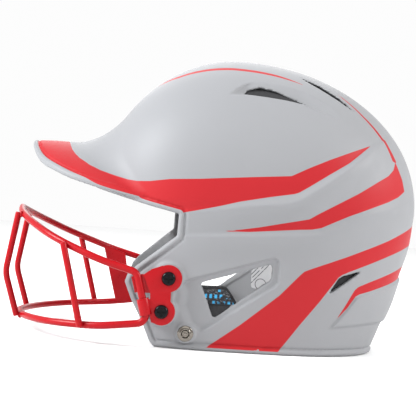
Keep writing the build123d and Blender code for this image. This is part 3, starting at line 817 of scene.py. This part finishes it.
foam_block("crown_liner", "crown_foam", crown_grooves, foam_black)
foam_block("front_liner", "front_foam", foam_grooves(20, 1.6), foam_black)
foam_block("rear_liner", "rear_foam", foam_grooves(24, 1.6), foam_black)
foam_block(
    "side_liner_right", "side_foam_right", foam_grooves(20, 1.6), foam_black,
    [("side_liner_left", "side_foam_left")],
)
foam_block(
    "jaw_liner_right", "jaw_foam_right", foam_grooves(18, 1.2), foam_black,
    [("jaw_liner_left", "jaw_foam_left")],
)
cushion("crown_cushion", "crown_pad", crown_grooves, knit_black)
cushion("brow_cushion", "brow_pad", upright_grooves(24, 2.6), knit_black, cap=1.6)
cushion("nape_cushion", "nape_pad", upright_grooves(26, 3.0), knit_black)
cushion(
    "side_cushion_right", "side_pad_right", side_grooves, knit_printed,
    pairs=[("side_cushion_left", "side_pad_left")],
)
cushion(
    "jaw_cushion_right", "jaw_pad_right", jaw_grooves, knit_printed, cap=1.2,
    pairs=[("jaw_cushion_left", "jaw_pad_left")],
)


# ---------------------------------------------------------------- information label inside the right wall
def label_mesh(columns=25, rows=25, thickness=0.3, corner=3.0):
    """Thin film that follows the inside of the wall."""
    low, high = node_mm("inner_label")
    middle, half = (low + high) / 2, (high - low) / 2
    across, up = np.meshgrid(np.linspace(-1, 1, columns), np.linspace(-1, 1, rows), indexing="ij")
    power = 2 + 2 * half[0] / corner
    shrink = (np.abs(across) ** power + np.abs(up) ** power) ** (1 / power)
    shrink = np.maximum(shrink / np.maximum(np.maximum(np.abs(across), np.abs(up)), 1e-6), 1)
    x = middle[0] + half[0] * 0.97 * across / shrink
    z = middle[2] + half[2] * 0.97 * up / shrink
    sheets = []
    for depth in (WALL + 0.08, WALL + 0.08 + thickness):
        near, far = np.full(x.shape, 60.0), np.full(x.shape, 112.0)
        for _ in range(24):
            mid = (near + far) / 2
            spots = np.stack([x.ravel(), mid.ravel(), z.ravel()], axis=1)
            inside = (surface_distance(spots) < -depth).reshape(x.shape)
            near, far = np.where(inside, mid, near), np.where(inside, far, mid)
        sheets.append(np.stack([x, near, z], axis=-1).reshape(-1, 3))
    points = np.concatenate(sheets)
    count = columns * rows
    faces = []
    for i in range(columns - 1):
        for j in range(rows - 1):
            a, b, c, d = i * rows + j, (i + 1) * rows + j, (i + 1) * rows + j + 1, i * rows + j + 1
            faces.append((a, d, c, b))
            faces.append((a + count, b + count, c + count, d + count))
    rim = [(i, 0) for i in range(columns)] + [(columns - 1, j) for j in range(1, rows)]
    rim += [(i, rows - 1) for i in range(columns - 2, -1, -1)] + [(0, j) for j in range(rows - 2, 0, -1)]
    rim = [i * rows + j for i, j in rim]
    for a, b in zip(rim, rim[1:] + rim[:1]):
        faces.append((a, b, b + count, a + count))
    return to_mesh("label_film", points, faces)


LINES_START = (0.0500, 0.0, 0.0465)
RING_MIDDLE = (0.0520, 0.0, 0.0385)
RING_R = 0.0048


def label_material():
    """Pale film with slanted dark lines and a ring, in place of any wording."""
    material, nodes, links, shader = new_material("label_print")
    place = nodes.new("ShaderNodeTexCoord")
    turn = nodes.new("ShaderNodeMapping")
    turn.vector_type = "TEXTURE"
    turn.inputs["Location"].default_value = LINES_START
    turn.inputs["Rotation"].default_value = (0, math.radians(-48), 0)
    links.new(place.outputs["Object"], turn.inputs["Vector"])
    split = nodes.new("ShaderNodeSeparateXYZ")
    links.new(turn.outputs["Vector"], split.inputs["Vector"])

    def math_node(operation, a, b=0.0):
        node = nodes.new("ShaderNodeMath")
        node.operation = operation
        for socket, value in zip(node.inputs, (a, b)):
            if isinstance(value, (int, float)):
                socket.default_value = value
            else:
                links.new(value, socket)
        return node.outputs["Value"]

    rows = math_node("PINGPONG", split.outputs["Z"], 0.0013)
    line = map_range(nodes, links, rows, 0.00025, 0.00045, 1.0, 0.0)
    words = noise(nodes, links, 420.0, 1.0)
    line = math_node("MULTIPLY", line, map_range(nodes, links, words.outputs["Fac"], 0.36, 0.42))
    line = math_node("MULTIPLY", line, map_range(nodes, links, split.outputs["Z"], -0.0008, -0.0004))
    ring_place = nodes.new("ShaderNodeVectorMath")
    ring_place.operation = "MULTIPLY"
    ring_place.inputs[1].default_value = (1, 0, 1)
    links.new(place.outputs["Object"], ring_place.inputs[0])
    ring = nodes.new("ShaderNodeVectorMath")
    ring.operation = "DISTANCE"
    ring.inputs[1].default_value = RING_MIDDLE
    links.new(ring_place.outputs["Vector"], ring.inputs[0])
    off = math_node("ABSOLUTE", math_node("SUBTRACT", ring.outputs["Value"], RING_R))
    circle = map_range(nodes, links, off, 0.00022, 0.00042, 1.0, 0.0)
    ink = math_node("MAXIMUM", line, circle)
    mottle = noise(nodes, links, 160.0).outputs["Fac"]
    film = mix_colors(nodes, links, mottle, (0.36, 0.36, 0.37), (0.40, 0.40, 0.41))
    links.new(mix_colors(nodes, links, ink, film, (0.045, 0.045, 0.05)), shader.inputs["Base Color"])
    shader.inputs["Roughness"].default_value = 0.4
    return material


make_piece("printed_label", label_mesh(), label_material(), ["inner_label"])


# ---------------------------------------------------------------- mask and fasteners
def lathe(profile, count=48):
    """Closed piece turned about its own Z, from (radius, height) points that start and end on the axis."""
    points, faces = [], []
    for radius, height in profile[1:-1]:
        for i in range(count):
            turn = 2 * math.pi * i / count
            points.append((radius * math.cos(turn), radius * math.sin(turn), height))
    rings = len(profile) - 2
    for r in range(rings - 1):
        for i in range(count):
            j = (i + 1) % count
            faces.append((r * count + i, r * count + j, (r + 1) * count + j, (r + 1) * count + i))
    foot, top = len(points), len(points) + 1
    points += [(0, 0, profile[0][1]), (0, 0, profile[-1][1])]
    for i in range(count):
        j = (i + 1) % count
        faces.append((foot, j, i))
        faces.append((top, (rings - 1) * count + i, (rings - 1) * count + j))
    return np.array(points), faces


def set_out(points, side, spot):
    """Turned piece laid with its +Z pointing out of one side of the helmet."""
    turned = np.stack([points[:, 0], side * points[:, 2], -side * points[:, 1]], axis=1)
    return turned + np.array(spot)


# stud of the snap: flat foot, rolled ring with a hollow, and a small middle post
SNAP_PROFILE = [
    (0, 0), (5.6, 0), (5.85, 0.15), (5.85, 0.6), (5.5, 0.88), (4.6, 0.95), (4.05, 1.15), (3.75, 1.6),
    (3.8, 2.1), (4.05, 2.6), (4.05, 2.9), (3.85, 3.12), (3.5, 3.2), (3.2, 3.1), (3.0, 2.8), (2.9, 1.6),
    (1.75, 1.45), (1.6, 1.7), (1.5, 2.5), (1.15, 2.8), (0, 2.9),
]
for side, side_name in ((-1, "left"), (1, "right")):
    low, high = node_mm(f"chin_snap_stud_{side_name}")
    middle = (low + high) / 2
    points, faces = lathe(SNAP_PROFILE)
    points = set_out(points, side, (middle[0], side * SNAP_FACE, middle[2]))
    stud = to_mesh(f"chin_snap_ring_{side_name}", points, faces)
    make_piece(f"chin_snap_ring_{side_name}", stud, nickel, [f"chin_snap_stud_{side_name}"])


def rounded(mesh, width, angle=35):
    """Mesh with its flat faces joined up and its sharp edges rounded over."""
    work = bmesh.new()
    work.from_mesh(mesh)
    bmesh.ops.remove_doubles(work, verts=work.verts, dist=0.00002)
    bmesh.ops.dissolve_limit(work, angle_limit=math.radians(1.5), verts=work.verts, edges=work.edges)
    work.to_mesh(mesh)
    work.free()
    return through_modifiers(
        mesh,
        ("BEVEL", {
            "width": width * MM, "segments": 3, "limit_method": "ANGLE", "angle_limit": math.radians(angle),
            "harden_normals": False,
        }),
        ("TRIANGULATE", {}),
    )


UPRIGHT_R = 2.45
UPRIGHT_CUT = 2.0        # taken off each end
UPRIGHT_END_ROUND = 0.9
END_SPAN = 3.0           # points within this height of an upright's end belong to that end
WELD_R = 1.8
WELD_RUN = (-1.2, -0.6, 0, 0.6, 1.2)
WELD_TAPER = 0.3
PLATE_EDGE_ROUND = 0.55


def wire_stops(points):
    """Middles of the top end, the bend (if it has one) and the foot of an upright wire."""
    height = points[:, 2]
    top, foot = height > height.max() - END_SPAN, height < height.min() + END_SPAN
    between = points[~top & ~foot]
    stops = [points[top].mean(axis=0), points[foot].mean(axis=0)]
    if len(between):
        stops.insert(1, between.mean(axis=0))
    return np.array(stops)


def weld_bead(name, upright, rail="mask_perimeter_wire"):
    """Weld metal where an upright meets the rail, at both of its ends."""
    stops = wire_stops(node_solid(upright)[0])
    ring = node_solid(rail)[0]
    work = bmesh.new()
    for end, inward in ((stops[0], stops[1]), (stops[-1], stops[-2])):
        heading = (inward - end) / np.linalg.norm(inward - end)
        line = end + heading * np.arange(0, 9, 0.25)[:, None]
        gaps = np.linalg.norm(line[:, None, :] - ring[None, :, :], axis=2)
        i, j = np.unravel_index(gaps.argmin(), gaps.shape)
        spot = line[i] + (ring[j] - line[i]) / gaps[i, j] * UPRIGHT_R
        for k in WELD_RUN:
            place = Matrix.Translation(Vector((spot + heading * k) * MM))
            radius = (WELD_R - WELD_TAPER * abs(k)) * MM
            bmesh.ops.create_icosphere(work, subdivisions=2, radius=radius, matrix=place)
    mesh = bpy.data.meshes.new(name)
    work.to_mesh(mesh)
    work.free()
    even = {"mode": "VOXEL", "voxel_size": 0.35 * MM, "use_smooth_shade": True}
    mesh = through_modifiers(mesh, ("REMESH", even))
    make_piece(name, mesh, mask_red, [])


def trimmed_wire(node):
    """An upright of the mask with its ends cut back flush with the rail and rounded."""
    points, faces = node_solid(node)
    stops = wire_stops(points)
    height = points[:, 2]
    moved = points.copy()
    for end, start, inward in (
        (height > height.max() - END_SPAN, stops[0], stops[1]),
        (height < height.min() + END_SPAN, stops[-1], stops[-2]),
    ):
        moved[end] += (inward - start) / np.linalg.norm(inward - start) * UPRIGHT_CUT
    mesh = rounded(to_mesh(node + "_cut", moved, faces), UPRIGHT_END_ROUND)
    mesh.shade_smooth()
    return mesh


for side_name in ("left", "right"):
    for place in ("front", "side"):
        name = f"mask_{place}_wire_{side_name}"
        upright = f"mask_upright_{place}_{side_name}"
        make_piece(upright, trimmed_wire(name), mask_red, [name])
        weld_bead(f"weld_{place}_{side_name}", f"mask_{place}_wire_{side_name}")
    sharp = to_mesh(f"mask_plate_{side_name}_sharp", *node_solid(f"mask_plate_{side_name}"))
    plate = rounded(sharp, PLATE_EDGE_ROUND)
    plate.shade_smooth()
    make_piece(f"mask_bracket_{side_name}", plate, mask_red, [f"mask_plate_{side_name}"])

for node_name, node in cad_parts.items():
    finish = None
    if node_name.startswith("mask_screw"):
        finish = screw_black
    elif node_name == "mask_t_nuts":
        finish = zinc
    elif node_name.startswith("mask_"):
        finish = mask_red
    elif node_name.startswith("chin_snap"):
        finish = nickel
    if finish:
        for slot in node.material_slots:
            slot.material = finish

# ---------------------------------------------------------------- stage, light and camera
FLOOR_SIZE = 6.0
floor_mesh = bpy.data.meshes.new("floor")
half = FLOOR_SIZE / 2
corners = [(-half, -half, 0), (half, -half, 0), (half, half, 0), (-half, half, 0)]
floor_mesh.from_pydata(corners, [], [(0, 1, 2, 3)])
floor = bpy.data.objects.new("floor", floor_mesh)
floor.location.z = -0.0002
bpy.context.scene.collection.objects.link(floor)
floor_mesh.materials.append(plain_material("floor_pale", (0.86, 0.86, 0.86), 0.6, bumpiness=0.0, shade=0.995))


def area_light(name, place, target, size, power, color=(1, 1, 1)):
    lamp = bpy.data.lights.new(name, "AREA")
    lamp.shape = "DISK"
    lamp.size = size
    lamp.energy = power
    lamp.color = color
    item = bpy.data.objects.new(name, lamp)
    item.location = place
    item.rotation_euler = (Vector(target) - Vector(place)).to_track_quat("-Z", "Y").to_euler()
    bpy.context.scene.collection.objects.link(item)


MIDDLE = (0.0, 0.0, 0.12)
area_light("key_front_left", (-1.5, -0.42, 1.15), MIDDLE, 0.8, 58, (0.96, 0.98, 1.0))
area_light("fill_camera", (0.1, -1.8, 1.0), MIDDLE, 1.2, 4)
area_light("rear_soft", (1.5, -0.4, 0.9), MIDDLE, 0.7, 26)
area_light("far_side", (0.0, 1.4, 1.0), MIDDLE, 1.2, 8)
area_light("inside", (0.03, -0.01, 0.135), (0.03, 0.09, 0.045), 0.05, 0.22)

world = bpy.data.worlds.new("studio")
world.use_nodes = True
world.node_tree.nodes["Background"].inputs["Color"].default_value = (1, 1, 1, 1)
world.node_tree.nodes["Background"].inputs["Strength"].default_value = 0.98
bpy.context.scene.world = world
bpy.context.scene.view_settings.view_transform = "Standard"

# The camera stands level with the bill, 0.9 m out on the wearer's left.
EYE = Vector((-0.0442, -0.900, 0.1085))
ROLL = math.radians(4.0)
AIM_RIGHT, AIM_DOWN = 0.0437, 0.0073
level_right = Vector((math.cos(ROLL), 0, math.sin(ROLL)))
level_up = Vector((-math.sin(ROLL), 0, math.cos(ROLL)))
forward = (Vector((0, 1, 0)) + AIM_RIGHT * level_right - AIM_DOWN * level_up).normalized()
right = (level_right - level_right.dot(forward) * forward).normalized()
up = right.cross(forward)
camera_data = bpy.data.cameras.new("camera")
camera_data.lens = 95.0
camera_data.sensor_width = 36.0
camera = bpy.data.objects.new("camera", camera_data)
camera.matrix_world = Matrix((
    (right.x, up.x, -forward.x, EYE.x),
    (right.y, up.y, -forward.y, EYE.y),
    (right.z, up.z, -forward.z, EYE.z),
    (0, 0, 0, 1),
))
bpy.context.scene.collection.objects.link(camera)
bpy.context.scene.camera = camera
